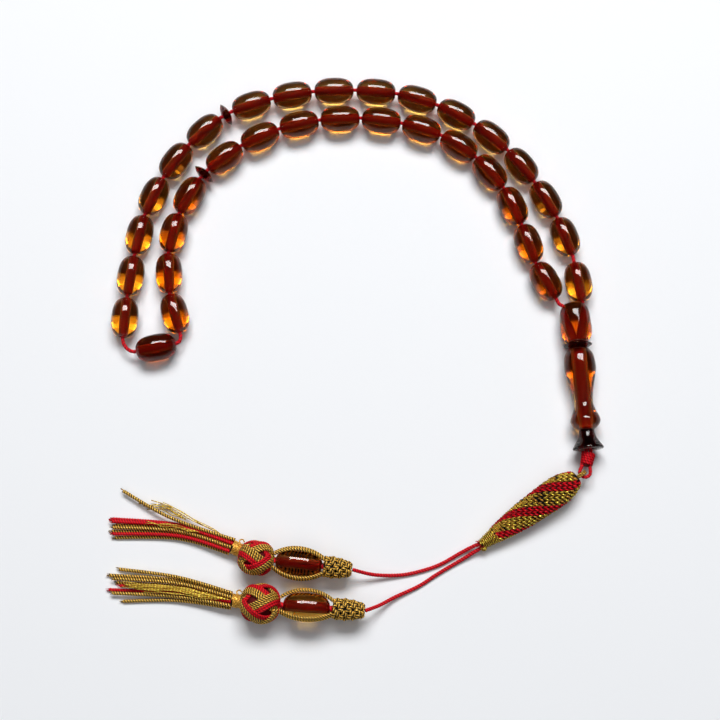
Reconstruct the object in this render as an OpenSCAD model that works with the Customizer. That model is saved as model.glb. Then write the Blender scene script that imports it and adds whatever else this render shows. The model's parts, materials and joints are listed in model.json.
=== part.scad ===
// Misbaha: thirty-three barrel-shaped beads of amber resin, two divider discs, a turned head piece
// (imame), a woven sleeve and two tasselled pendants, laid out flat on a surface.
// Units are millimetres. The origin is under the middle of the laid-out outline, +Z is up.

/* [Counting beads] */
// Length of a counting bead along its bore
bead_len = 11.5; // [11.3:0.05:11.6]
// Largest diameter of a counting bead
bead_dia = 7.7; // [7:0.1:7.8]
// Diameter of the bore through beads and divider discs
bore_dia = 1.9; // [1.7:0.1:2.1]
// Length cut off each rounded end of the bead to leave a flat round the bore
bead_trim = 0.12; // [0.1:0.02:0.2]

/* [Divider discs] */
// Diameter of a divider disc at its sharp rim
marker_dia = 6.8; // [6:0.1:7]
// Thickness of a divider disc at its bore
marker_width = 2.6; // [2.2:0.1:2.6]

/* [Cords] */
// Diameter of the string and of the pendant cords
cord_dia = 1.1; // [0.9:0.05:1.15]
// Diameter of one fringe strand
strand_dia = 1.1; // [0.9:0.1:1.2]

/* [Head piece] */
// Diameter of the bore shared by both string ends
shared_bore_dia = 2.9; // [2.8:0.1:3.2]
// Diameter of the whipped stopper knot under the head piece
stopper_dia = 4.2; // [3.8:0.1:4.4]

/* [Sleeve] */
// Length of the woven sleeve without its bound end
sleeve_len = 29.5; // [28:0.5:30]
// Height of the woven sleeve as a share of its width
sleeve_flatness = 0.85; // [0.75:0.05:0.9]

/* [Pendants] */
// Length of the oval bead in each pendant
pendant_bead_len = 12.8; // [12.4:0.1:13]
// Diameter of the oval bead in each pendant
pendant_bead_dia = 7.8; // [7.6:0.1:7.9]
// Diameter of one cage cord
cage_cord_dia = 0.9; // [0.7:0.1:0.9]

/* [Hidden] */
$fn = 96;
bead_count = 33;

amber = "#b4600c";
dark_amber = "#2a0805";
red_thread = "#b01020";
gold_thread = "#a8873a";

// Clearance used to run a cut past the faces it opens
past = 1;
cord_sides = 8;
// Shape of the barrel beads: 2 gives an ellipse and higher powers give blunter ends
barrel_power = 2.5;
// Turned bands from the middle of a barrel bead to one end
barrel_bands = 12;

// ---- Layout of the two legs of the string ----
// Height of the bead axis when the beads lie on the surface
bead_z = bead_dia / 2;
// Free space between neighbouring beads on each leg
outer_gap = 1.05;
inner_gap = 0.8;
// Slack left between the first and second bead of the outer leg
slack = 1.6;
// Where each leg leaves its first bead, next to the head piece
outer_start = [65.4, 12];
inner_start = [57.8, 13];
// Heading of the string along each leg, by piece number, in degrees
outer_turns = [[0, 100], [2, 120], [3, 128], [7, 175], [8, 182], [10, 199], [14, 246],
    [15, 258], [17, 266]];
inner_turns = [[0, 118], [1, 108], [2, 114], [4, 146], [5, 162], [7, 183], [8, 193], [11, 230], [12, 241],
    [14, 273], [15, 286]];
// Pieces on each leg, counted from the head piece; the divider disc follows eleven beads
outer_pieces = 18;
inner_pieces = 16;
marker_place = 11;
// The single bead lying across the far end of the loop
end_bead = 18;
end_at = [-57.6, -1.3];
end_heading = 12;

// ---- Head piece (imame) ----
imame_top = [62.6, 11.7];
imame_heading = 274;
imame_z = 4.5;
// Half the spacing of the two string ends inside the shared bore
strand_offset = cord_dia / 2 + 0.05;
// Inlets of the two slanting bores: distance off the axis and below the top
outer_inlet = [2.6, 0.4];
inner_inlet = [-3, 0.8];
bores_meet = 11;
// Distance along the axis and radius of the turned outlines
collector_outline = [[0, 1.4], [0.3, 2.7], [1.1, 3.5], [2.8, 4.15], [5.5, 4.4], [8.5, 4.45],
    [10.4, 4], [11.3, 3.2]];
disc_outline = [[11.5, 2.4], [12.1, 3.6], [12.5, 4.1], [12.9, 3.6], [13.5, 2.4]];
body_outline = [[13.7, 2.4], [14, 3.1], [14.9, 3.8], [16.1, 4.25], [19, 4.5], [21.3, 4.15], [23.7, 3.55],
    [26, 3], [28.4, 2.68], [30.1, 2.75], [31.9, 3.3], [33.6, 4.05], [34.8, 4.2], [36, 3.6], [37, 2.4]];
cap_outline = [[37.2, 2.2], [38.2, 2.3], [39.6, 2.7], [41, 3.6], [42, 4.25], [42.5, 4.35], [42.7, 4.1]];
string_end = 44;

// ---- Stopper knot, loop and sleeve ----
stopper_at = 43.6;
loop_centre = [64.4, -37.4, 4.8];
loop_radius = 1.5;
loop_bite = 0.35;
bail_dia = 0.8;
bail_radius = 1.25;
sleeve_from_loop = 2.45;
sleeve_heading = 214.5;
sleeve_tilt = 3.8;
sleeve_outline = [[0, 1.7], [1.5, 2.9], [5, 4.1], [9, 4.35], [14, 4.15], [19, 3.85],
    [25, 3.1], [sleeve_len, 2.3]];
whipping_len = 4;
whipping_turns = 7;
end_knot_dia = 1.9;

// ---- Pendant cords, from the sleeve to each cap ----
cord_a_route = [[34.2, -57.4, 2.2], [30, -59.4, 1], [23.5, -63, 0.6], [17.5, -65, 0.6], [12, -66, 0.8],
    [5, -66, 2.5], [-1, -64.8, 5.3]];
cord_b_route = [[34.2, -58.9, 1.9], [29, -62, 0.8], [23, -65.5, 0.6], [17.5, -69, 0.6], [11, -72, 1.2],
    [6.5, -74.4, 3], [2.6, -76, 6]];
cord_steps = 2;

// ---- Pendants: [cap tip, heading, axis height, cap length, cage length, knot length, knot diameter,
//      turn of the cage, neck heading] ----
pendant_a = [[-1.2, -64.8], 173, 5.35, 8, 13.8, 10.2, 10.6, -6, 154];
pendant_b = [[2.4, -76.1], 176, 6.05, 9, 14.4, 11.2, 12, 12, 173];
cap_tip_dia = 3.2;
cap_base_dia = 6;
core_dia = 1.7;
core_bore_dia = 2.1;
cage_end_radius = 2.3;
cage_bulge = 4.75;
neck_len = 3;
neck_dia = 4;

// ---- Fringe strands: bend and end of each, listed from the top of the fan to the bottom ----
strands_a = [
    [[-52, -50.2, 2.6], [-66, -42.4, 1.6]],
    [[-50, -51.9, 1], [-69, -50.2, 0.6]],
    [[-50, -52.5, 2], [-69, -51, 1.6]],
    [[-50, -53.2, 1], [-68, -51.9, 0.6]],
    [[-50, -53.8, 2], [-68.5, -52.7, 1.6]],
    [[-50, -54.5, 1], [-69, -53.6, 0.6]],
    [[-50, -55.1, 2], [-68.5, -54.5, 1.6]],
    [[-50, -55.8, 1], [-68, -55.4, 0.6]]
];
strands_b = [
    [[-50, -66.6, 2], [-66.5, -64.3, 0.8]],
    [[-50, -67.4, 1], [-69.2, -66, 0.6]],
    [[-50, -68.3, 2], [-68, -67, 1.6]],
    [[-50, -69.2, 1], [-67, -68, 0.6]],
    [[-50, -70.1, 2], [-66, -69, 1.6]],
    [[-50, -71, 1], [-69.2, -70, 0.6]],
    [[-50, -72, 2], [-68, -71, 1.6]],
    [[-50, -73, 1], [-65.2, -73.2, 0.6]]
];
strand_steps = 3;
// Where the strands start across the neck: sideways and upwards, in strand diameters
strand_packing = [
    [1.8, 0.5], [1.25, -0.45], [0.75, 0.5], [0.2, -0.45],
    [-0.3, 0.5], [-0.85, -0.45], [-1.35, 0.5], [-1.9, -0.45]
];

// ---- Functions ----
function bead_name(i) = str("bead_", i < 10 ? "0" : "", i);
function unit(v) = v / norm(v);
function direction(heading) = [cos(heading), sin(heading)];
function raise(p, z) = [p[0], p[1], z];

// Points of a smooth curve through the listed points
function curve_point(a, b, c, d, t) =
    b + t / 2 * ((c - a) + t * ((2 * a - 5 * b + 4 * c - d) + t * (3 * b - a - 3 * c + d)));
function smooth(p, steps) = [
    for (i = [0:len(p) - 2])
        for (k = [0:steps - 1])
            curve_point(p[max(i - 1, 0)], p[i], p[i + 1], p[min(i + 2, len(p) - 1)], k / steps),
    p[len(p) - 1]
];

// Length of string taken by one piece of a leg, and the extra slack after it
function piece_step(i, gap) = gap + (i == marker_place ? marker_width : bead_len);
function extra(i, loose) = i == 0 ? loose : 0;

// End point of each piece of a leg, walking from the head piece
function leg(start, turns, gap, loose, count) = [
    for (
        i = 0, p = start;
        i <= count;
        p = p + (piece_step(i, gap) + extra(i, loose)) * direction(lookup(i, turns)), i = i + 1
    ) p
];
outer_leg = leg(outer_start, outer_turns, outer_gap, slack, outer_pieces);
inner_leg = leg(inner_start, inner_turns, inner_gap, 0, inner_pieces);

// Middle of piece i of a leg
function middle(start_point, i, turns, gap) =
    start_point + piece_step(i, gap) / 2 * direction(lookup(i, turns));

// Place and heading of counting bead n: the outer leg, then the end bead, then back along the inner leg
function outer_place(n) = n <= marker_place ? n - 1 : n;
function inner_place(n) = n <= bead_count - marker_place ? bead_count - n + 1 : bead_count - n;
function bead_at(n) =
    n < end_bead ? middle(outer_leg[outer_place(n)], outer_place(n), outer_turns, outer_gap)
    : n == end_bead ? end_at
    : middle(inner_leg[inner_place(n)], inner_place(n), inner_turns, inner_gap);
function bead_heading(n) =
    n < end_bead ? lookup(outer_place(n), outer_turns)
    : n == end_bead ? end_heading
    : lookup(inner_place(n), inner_turns);

// Point of the head piece, s along its axis and y across it
function on_imame(y, s) =
    raise(imame_top + s * direction(imame_heading) + y * direction(imame_heading + 90), imame_z);

// Cord that leaves p along heading h and arrives at q along heading k
function bend(p, h, q, k, reach) = [
    for (t = [0.25, 0.5, 0.75])
        let (a = p + reach * direction(h), b = q - reach * direction(k))
            (1 - t) * (1 - t) * (1 - t) * p + 3 * t * (1 - t) * (1 - t) * a
            + 3 * t * t * (1 - t) * b + t * t * t * q
];
end_reach = bead_len / 2 + 0.3;
end_left = end_at - end_reach * direction(end_heading);
end_right = end_at + end_reach * direction(end_heading);
outer_last = outer_leg[outer_pieces];
inner_last = inner_leg[inner_pieces];
outer_out = lookup(outer_pieces - 1, outer_turns);
inner_out = lookup(inner_pieces - 1, inner_turns);
loop_points = concat(
    [for (p = outer_leg) p],
    bend(outer_last, outer_out, end_left, end_heading, 1.8),
    [end_left, end_right],
    bend(end_right, end_heading, inner_last, inner_out + 180, 1.2),
    [for (i = [inner_pieces:-1:0]) inner_leg[i]]
);
string_route = concat(
    [on_imame(strand_offset, string_end), on_imame(strand_offset, bores_meet + 1)],
    [on_imame(strand_offset, bores_meet), on_imame(outer_inlet[0], outer_inlet[1])],
    [for (p = loop_points) raise(p, bead_z)],
    [on_imame(inner_inlet[0], inner_inlet[1]), on_imame(-strand_offset, bores_meet)],
    [on_imame(-strand_offset, bores_meet + 1), on_imame(-strand_offset, string_end)]
);

// Sleeve frame: its top centre and its end
sleeve_top = loop_centre + sleeve_from_loop * raise(direction(sleeve_heading), 0);

// ---- Shared shapes ----
// Corner points of the tube round one route, ring by ring
function ring_points(route, dia) =
    let (
        last = len(route) - 1,
        ahead = [for (i = [0:last]) unit(route[min(i + 1, last)] - route[min(i, last - 1)])],
        behind = [for (i = [0:last]) unit(route[max(i, 1)] - route[max(i - 1, 0)])]
    ) [
        for (i = [0:last])
            let (t = unit(ahead[i] + behind[i]), side = unit(cross(t, [0, 0, 1])), up = cross(side, t))
                for (k = [0:cord_sides - 1])
                    route[i] + dia / 2 * (cos(360 * k / cord_sides) * side + sin(360 * k / cord_sides) * up)
    ];

// Faces of one tube of the given number of rings, whose first point has the given number
function tube_faces(rings, first) = concat(
    [[for (k = [cord_sides - 1:-1:0]) first + k]],
    [[for (k = [0:cord_sides - 1]) first + (rings - 1) * cord_sides + k]],
    [
        for (i = [0:rings - 2], k = [0:cord_sides - 1])
            let (n = (k + 1) % cord_sides, a = first + i * cord_sides, b = a + cord_sides)
                [a + k, a + n, b + n, b + k]
    ]
);

// Round cords swept along routes that all have the same number of points
module cords(routes, dia) {
    rings = len(routes[0]);
    polyhedron(
        [for (route = routes) each ring_points(route, dia)],
        [for (i = [0:len(routes) - 1]) each tube_faces(rings, i * rings * cord_sides)]
    );
}

// Lays the +Z axis of its children along a heading
module lay(at, z, heading) {
    translate([at[0], at[1], z]) rotate([0, 90, heading]) children();
}

// Drilled barrel bead with flat ends, along Z, with the outline of a rounded oblong
module barrel(length, dia, bore) {
    half = length / 2 + bead_trim;
    side = [
        for (k = [-barrel_bands:barrel_bands])
            let (z = length / 2 * sin(90 * k / barrel_bands))
                [dia / 2 * pow(1 - pow(abs(z) / half, barrel_power), 1 / barrel_power), z]
    ];
    rotate_extrude()
        polygon(concat([[bore / 2, -length / 2]], side, [[bore / 2, length / 2]]));
}

// Turned solid along Z from its outline, without its bore
module turned(outline, steps) {
    side = smooth(outline, steps);
    last = len(side) - 1;
    rotate_extrude()
        polygon(concat([[0, side[0][0]]], [for (p = side) [p[1], p[0]]], [[0, side[last][0]]]));
}

// Thread wound round a core of the given diameter, as rings side by side
module wound(length, dia, end_dia, turns) {
    pitch = length / turns;
    union() {
        cylinder(d1 = dia - pitch, d2 = end_dia - pitch, h = length);
        for (i = [0:turns - 1]) {
            d = dia + (end_dia - dia) * (i + 0.5) / turns;
            translate([0, 0, (i + 0.5) * pitch])
                rotate_extrude()
                    translate([d / 2 - pitch / 2, 0]) circle(d = pitch * 0.98);
        }
    }
}

// ---- String and what is threaded on it ----
module counting_bead(n) {
    color(amber, 0.8)
        lay(bead_at(n), bead_z, bead_heading(n)) barrel(bead_len, bead_dia, bore_dia);
}

module marker(leg_points, turns, gap) {
    radius = (marker_dia * marker_dia + marker_width * marker_width) / (4 * marker_width);
    color(dark_amber)
        lay(middle(leg_points[marker_place], marker_place, turns, gap), bead_z, lookup(marker_place, turns))
            difference() {
                intersection() {
                    translate([0, 0, radius - marker_width / 2]) sphere(r = radius);
                    translate([0, 0, marker_width / 2 - radius]) sphere(r = radius);
                }
                cylinder(d = bore_dia, h = marker_width + 2 * past, center = true);
            }
}

module string() {
    color(red_thread) cords([string_route], cord_dia);
}

// ---- Head piece ----
module on_imame_axis() {
    lay(imame_top, imame_z, imame_heading) children();
}

module slanting_bore(inlet) {
    side = inlet[0] > 0 ? strand_offset : -strand_offset;
    lean = atan2(side - inlet[0], bores_meet - inlet[1]);
    translate([0, inlet[0], inlet[1]])
        rotate([-lean, 0, 0])
            translate([0, 0, -3 * past]) cylinder(d = bore_dia, h = bores_meet + 6 * past);
}

module collector() {
    color(amber, 0.8)
        on_imame_axis()
            difference() {
                turned(collector_outline, 3);
                slanting_bore(outer_inlet);
                slanting_bore(inner_inlet);
            }
}

module bored(outline, steps) {
    start = outline[0][0];
    length = outline[len(outline) - 1][0] - start;
    on_imame_axis()
        difference() {
            turned(outline, steps);
            translate([0, 0, start - past]) cylinder(d = shared_bore_dia, h = length + 2 * past);
        }
}

module imame_disc() { color(dark_amber) bored(disc_outline, 1); }
module imame_body() { color(amber, 0.8) bored(body_outline, 3); }
module imame_cap() { color(dark_amber) bored(cap_outline, 3); }

module stopper_knot() {
    start = on_imame(0, stopper_at);
    run = loop_centre - start;
    heading = atan2(run[1], run[0]);
    length = norm([run[0], run[1]]) - loop_radius - cord_dia / 2 + loop_bite;
    color(red_thread)
        union() {
            lay(start, imame_z, heading) wound(length, stopper_dia, stopper_dia - 0.6, 4);
            translate(loop_centre)
                rotate_extrude() translate([loop_radius, 0]) circle(d = cord_dia);
        }
}

// ---- Sleeve ----
module in_sleeve() {
    translate(sleeve_top) rotate([0, 0, sleeve_heading]) rotate([0, 90 + sleeve_tilt, 0]) children();
}

module sleeve_bail() {
    reach = sleeve_from_loop - bail_radius;
    color(gold_thread)
        translate(loop_centre)
            rotate([0, 0, sleeve_heading])
                union() {
                    translate([bail_radius, 0, 0])
                        rotate([90, 0, 0])
                            rotate([0, 0, 90])
                                rotate_extrude(angle = 180)
                                    translate([bail_radius, 0]) circle(d = bail_dia);
                    for (z = [-bail_radius, bail_radius])
                        translate([bail_radius, 0, z]) rotate([0, 90, 0]) cylinder(d = bail_dia, h = reach);
                }
}

module sleeve_weave() {
    color(gold_thread)
        in_sleeve() scale([sleeve_flatness, 1, 1]) turned(sleeve_outline, 3);
}

module sleeve_whipping() {
    color(gold_thread)
        in_sleeve()
            translate([0, 0, sleeve_len])
                union() {
                    wound(whipping_len, 4.2, 2.9, whipping_turns);
                    translate([0, 1.2, whipping_len - 0.2]) sphere(d = end_knot_dia);
                }
}

// ---- Pendants ----
module along_pendant(p, distance) {
    lay(p[0] + distance * direction(p[1]), p[2], p[1]) children();
}

function knot_start(p) = p[3] + p[4];
function knot_centre(p) = p[0] + (knot_start(p) + p[5] / 2) * direction(p[1]);

module pendant_cord(route) {
    color(red_thread) cords([smooth(route, cord_steps)], cord_dia);
}

module pendant_cap(p) {
    color(gold_thread)
        along_pendant(p, 0)
            turned(
                [[0, cap_tip_dia / 2], [1.2, 2.2], [3.6, 2.75], [6.2, cap_base_dia / 2], [p[3], 2.75]],
                3
            );
}

module pendant_bead(p) {
    color(amber, 0.8)
        along_pendant(p, p[3] + p[4] / 2) barrel(pendant_bead_len, pendant_bead_dia, core_bore_dia);
}

module pendant_core(p) {
    color(red_thread) along_pendant(p, p[3]) cylinder(d = core_dia, h = p[4]);
}

module bead_cage(p) {
    half = p[4] / 2;
    sag = cage_bulge - cage_end_radius;
    radius = (half * half + sag * sag) / (2 * sag);
    spread = 2 * asin(half / radius);
    color(gold_thread)
        along_pendant(p, p[3] + half)
            for (turn = [0, 120, 240], shift = [-1, 1])
                rotate([0, 0, turn + p[7]])
                    translate([cage_bulge - radius, shift * (cage_cord_dia / 2 + 0.03), 0])
                        rotate([90, 0, 0])
                            rotate([0, 0, -spread / 2])
                                rotate_extrude(angle = spread)
                                    translate([radius, 0]) circle(d = cage_cord_dia);
}

module pendant_knot(p) {
    trim = 0.6;
    color(red_thread)
        along_pendant(p, knot_start(p) + p[5] / 2)
            intersection() {
                scale([1, 1, (p[5] + 2 * trim) / p[6]]) sphere(d = p[6]);
                cube([p[6] + past, p[6] + past, p[5]], center = true);
            }
}

// Middle of the neck face that meets the knot, and the neck's far end
neck_bite = 0.4;
function neck_at(p) = knot_centre(p) + (p[5] / 2 - neck_bite) * direction(p[8]);
function neck_drop(p) = p[2] - neck_dia / 2 - 0.6;

module tassel_whipping(p) {
    color(gold_thread) lay(neck_at(p), neck_drop(p), p[8]) wound(neck_len, neck_dia, neck_dia, 5);
}

// Routes of the fringe strands of one pendant
function strand_routes(p, ends) =
    let (across = direction(p[8] - 90), base = neck_at(p) + neck_len * direction(p[8])) [
        for (i = [0:len(ends) - 1])
            let (
                packing = strand_packing[i] * strand_dia,
                start = raise(base + packing[0] * across, neck_drop(p) + packing[1])
            ) smooth([start, ends[i][0], ends[i][1]], strand_steps)
    ];

module tassel_strands(p, ends) {
    color(gold_thread) cords(strand_routes(p, ends), strand_dia);
}

for (i = [1:bead_count])
    counting_bead(i);
marker(outer_leg, outer_turns, outer_gap);  // marker_1
marker(inner_leg, inner_turns, inner_gap);  // marker_2
string();
collector();
imame_disc();
imame_body();
imame_cap();
stopper_knot();
sleeve_bail();
sleeve_weave();
sleeve_whipping();
pendant_cord(cord_a_route);  // pendant_cord_a
pendant_cap(pendant_a);  // pendant_cap_a
pendant_bead(pendant_a);  // pendant_bead_a
pendant_core(pendant_a);  // pendant_core_a
bead_cage(pendant_a);  // bead_cage_a
pendant_knot(pendant_a);  // pendant_knot_a
tassel_whipping(pendant_a);  // tassel_whipping_a
tassel_strands(pendant_a, strands_a);  // tassel_strands_a
pendant_cord(cord_b_route);  // pendant_cord_b
pendant_cap(pendant_b);  // pendant_cap_b
pendant_bead(pendant_b);  // pendant_bead_b
pendant_core(pendant_b);  // pendant_core_b
bead_cage(pendant_b);  // bead_cage_b
pendant_knot(pendant_b);  // pendant_knot_b
tassel_whipping(pendant_b);  // tassel_whipping_b
tassel_strands(pendant_b, strands_b);  // tassel_strands_b
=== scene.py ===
import json
import math
import random

import bpy
import numpy as np
from mathutils import Matrix, Vector


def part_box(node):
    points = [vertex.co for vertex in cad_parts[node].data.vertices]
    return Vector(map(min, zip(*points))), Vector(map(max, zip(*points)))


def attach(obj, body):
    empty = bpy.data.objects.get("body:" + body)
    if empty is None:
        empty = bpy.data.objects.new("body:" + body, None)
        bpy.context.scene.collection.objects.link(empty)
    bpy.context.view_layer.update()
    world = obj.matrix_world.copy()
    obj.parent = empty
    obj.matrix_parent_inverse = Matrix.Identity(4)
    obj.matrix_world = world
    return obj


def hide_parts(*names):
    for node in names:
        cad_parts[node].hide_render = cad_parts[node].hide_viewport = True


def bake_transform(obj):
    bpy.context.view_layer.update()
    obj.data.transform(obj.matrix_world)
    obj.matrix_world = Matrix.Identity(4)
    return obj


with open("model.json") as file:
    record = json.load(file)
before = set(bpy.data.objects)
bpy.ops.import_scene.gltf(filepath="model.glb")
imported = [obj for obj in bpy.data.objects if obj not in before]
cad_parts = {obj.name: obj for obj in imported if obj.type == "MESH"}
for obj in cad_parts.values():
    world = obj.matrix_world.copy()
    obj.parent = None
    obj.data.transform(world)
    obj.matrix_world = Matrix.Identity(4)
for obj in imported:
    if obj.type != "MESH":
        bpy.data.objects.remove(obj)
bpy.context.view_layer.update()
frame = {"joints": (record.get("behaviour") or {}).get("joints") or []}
joints = {j["child"]: j for j in frame["joints"]}
rng = random.Random(7)
MM = 0.001
UP = np.array([0, 0, 1.0])
TINY = 1e-12

# ---------------------------------------------------------------- camera
camera_data = bpy.data.cameras.new("camera")
camera_data.lens = 75
camera_data.sensor_width = 36
camera_data.clip_start = 0.01
camera = bpy.data.objects.new("camera", camera_data)
bpy.context.scene.collection.objects.link(camera)
camera.location = (0.001, -0.0944, 0.4246)
camera.rotation_euler = (math.radians(12), 0, 0)
bpy.context.scene.camera = camera


# ---------------------------------------------------------------- shapes, all in millimetres
def unit(v):
    v = np.asarray(v, float)
    return v / np.linalg.norm(v)


def heading(degrees):
    return np.array([math.cos(math.radians(degrees)), math.sin(math.radians(degrees)), 0.0])


def curve(points, steps):
    """Points on a smooth curve through the given ones, so many for each stretch."""
    p = np.asarray(points, float)
    fine = []
    for i in range(len(p) - 1):
        a, b, c, d = p[max(i - 1, 0)], p[i], p[i + 1], p[min(i + 2, len(p) - 1)]
        square, cube = 2 * a - 5 * b + 4 * c - d, 3 * b - a - 3 * c + d
        for t in np.linspace(0, 1, steps, endpoint=False):
            fine.append(b + t / 2 * ((c - a) + t * (square + t * cube)))
    fine.append(p[-1])
    return fine


def distances(p):
    """How far along the line each of its points is."""
    return np.concatenate([[0], np.cumsum(np.linalg.norm(np.diff(p, axis=0), axis=1))])


def even(points, step):
    """The same line in even steps of about this length."""
    p = np.asarray(points, float)
    s = distances(p)
    n = max(3, int(round(s[-1] / step)) + 1)
    t = np.linspace(0, s[-1], n)
    return np.stack([np.interp(t, s, p[:, k]) for k in range(3)], 1)


def through(points, step):
    """A smooth curve through the points, in even steps."""
    return even(curve(points, 16), step)


def profile(points, steps=6):
    """A smooth outline through (along, radius) points."""
    return [(q[0], q[1]) for q in curve(points, steps)]


def corners(i, i2, k, k2, sides):
    """The corner numbers of the four-sided faces between the rings i and i2."""
    return np.stack([i * sides + k, i * sides + k2, i2 * sides + k2, i2 * sides + k], -1).reshape(-1, 4)


def tube(path, radius, strands=1, pitch=0.0, depth=0.0, sides=12, taper=None, start=0.0):
    """A round or twisted cord along a path: its corners, faces and (length, angle) map."""
    p = np.asarray(path, float)
    n = len(p)
    t = np.gradient(p, axis=0)
    t /= np.linalg.norm(t, axis=1)[:, None] + TINY
    a = np.zeros_like(p)
    first = np.cross(t[0], UP)
    if np.linalg.norm(first) < 1e-6:
        first = np.array([1.0, 0, 0])
    a[0] = unit(first - t[0] * np.dot(first, t[0]))
    for i in range(1, n):
        v = a[i - 1] - t[i] * np.dot(a[i - 1], t[i])
        a[i] = v / (np.linalg.norm(v) + TINY)
    b = np.cross(t, a)
    s = distances(p)
    v = np.arange(sides) / sides
    angle = 2 * np.pi * (v[None, :] + (s[:, None] / pitch if pitch else 0.0))
    r = radius * (1 - depth * (1 - np.abs(np.cos(strands * np.pi * v))))[None, :] * np.ones((n, 1))
    if taper is not None:
        r = r * np.interp(s / s[-1], *zip(*taper))[:, None]
    verts = p[:, None, :] + r[..., None] * (
        np.cos(angle)[..., None] * a[:, None, :] + np.sin(angle)[..., None] * b[:, None, :]
    )
    i, k = np.meshgrid(np.arange(n - 1), np.arange(sides), indexing="ij")
    faces = corners(i, i + 1, k, (k + 1) % sides, sides).tolist()
    u0, u1 = s[i] + start, s[i + 1] + start
    v0, v1 = k / sides, (k + 1) / sides
    uv = np.stack([np.stack(corner, -1) for corner in ((u0, v0), (u0, v1), (u1, v1), (u1, v0))], -2)
    caps = [list(range(sides - 1, -1, -1)), [(n - 1) * sides + k for k in range(sides)]]
    cap_uv = [np.tile([[at, 0.0]], (sides, 1)) for at in (start, s[-1] + start)]
    return verts.reshape(-1, 3), faces + caps, np.concatenate([uv.reshape(-1, 2), *cap_uv])


def lathe(outline, origin, axis, sides=64, flat=1.0, up=UP):
    """A closed turned solid from a loop of (along, radius) points."""
    z = unit(axis)
    x = unit(np.asarray(up, float) - z * np.dot(up, z))
    y = np.cross(z, x)
    o = np.asarray(outline, float)
    n = len(o)
    ang = 2 * np.pi * np.arange(sides) / sides
    ring = np.cos(ang)[:, None] * x * flat + np.sin(ang)[:, None] * y
    verts = np.asarray(origin, float) + o[:, None, 0, None] * z + o[:, None, 1, None] * ring[None]
    i, k = np.meshgrid(np.arange(n), np.arange(sides), indexing="ij")
    quads = corners(i, (i + 1) % n, k, (k + 1) % sides, sides)
    uv = np.zeros((len(quads), 4, 2))
    uv[..., 0] = o[i.reshape(-1), 0][:, None]
    uv[:, 0, 1] = uv[:, 3, 1] = k.reshape(-1) / sides
    uv[:, 1, 1] = uv[:, 2, 1] = (k.reshape(-1) + 1) / sides
    return verts.reshape(-1, 3), quads.tolist(), uv.reshape(-1, 2)


class Piece:
    """One visible piece, gathered from several shapes."""

    def __init__(self):
        self.v, self.f, self.uv, self.m, self.count = [], [], [], [], 0

    def add(self, shape, material=0):
        v, f, uv = shape
        self.v.append(v)
        self.f += [[c + self.count for c in face] for face in f]
        self.uv.append(uv)
        self.m += [material] * len(f)
        self.count += len(v)

    def make(self, name, materials, body, slot, *nodes, ride=True, place=None, sharp=None):
        """The mesh in metres, shown as a piece; edges sharper than sharp degrees stay crisp."""
        mesh = bpy.data.meshes.new(name)
        verts = np.concatenate(self.v) * MM
        mesh.from_pydata(verts.tolist(), [], self.f)
        layer = mesh.uv_layers.new(name="Lay")
        layer.data.foreach_set("uv", np.concatenate(self.uv).astype(np.float32).reshape(-1))
        mesh.polygons.foreach_set("use_smooth", np.ones(len(self.f), bool))
        mesh.polygons.foreach_set("material_index", np.array(self.m, np.int32))
        for m in materials:
            mesh.materials.append(m)
        mesh.update()
        if sharp is not None:
            mesh.set_sharp_from_angle(angle=math.radians(sharp))
        return show(mesh, name, body, slot, *nodes, ride=ride, place=place)


def show(mesh, name, body, slot, *nodes, ride=True, place=None):
    piece = bpy.data.objects.new(name, mesh)
    bpy.context.scene.collection.objects.link(piece)
    if place is not None:
        piece.matrix_world = place
    if ride:
        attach(piece, body)
    if nodes:
        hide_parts(*nodes)
    return piece


# ---------------------------------------------------------------- materials
def new_material(name):
    m = bpy.data.materials.new(name)
    m.use_nodes = True
    tree = m.node_tree
    for n in list(tree.nodes):
        tree.nodes.remove(n)
    out = tree.nodes.new("ShaderNodeOutputMaterial")
    return m, tree, out


def node(tree, kind, **inputs):
    n = tree.nodes.new(kind)
    for key, value in inputs.items():
        n.inputs[key.replace("_", " ")].default_value = value
    return n


def maths(tree, operation, a, b=None, c=None):
    n = tree.nodes.new("ShaderNodeMath")
    n.operation = operation
    for i, x in enumerate((a, b, c)):
        if x is None:
            continue
        if isinstance(x, (int, float)):
            n.inputs[i].default_value = x
        else:
            tree.links.new(x, n.inputs[i])
    return n.outputs[0]


def ramp(tree, fac, stops, constant=False):
    n = tree.nodes.new("ShaderNodeValToRGB")
    n.color_ramp.interpolation = "CONSTANT" if constant else "LINEAR"
    while len(n.color_ramp.elements) < len(stops):
        n.color_ramp.elements.new(0.5)
    for e, (at, colour) in zip(n.color_ramp.elements, stops):
        e.position = at
        e.color = (*colour, 1)
    tree.links.new(fac, n.inputs[0])
    return n.outputs[0]


def mix_colour(tree, fac, a, b, blend="MIX"):
    n = tree.nodes.new("ShaderNodeMix")
    n.data_type = "RGBA"
    n.blend_type = blend
    for socket, x in ((n.inputs[0], fac), (n.inputs[6], a), (n.inputs[7], b)):
        if isinstance(x, (int, float)):
            socket.default_value = x
        elif isinstance(x, tuple):
            socket.default_value = (*x, 1)
        else:
            tree.links.new(x, socket)
    return n.outputs[2]


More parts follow.
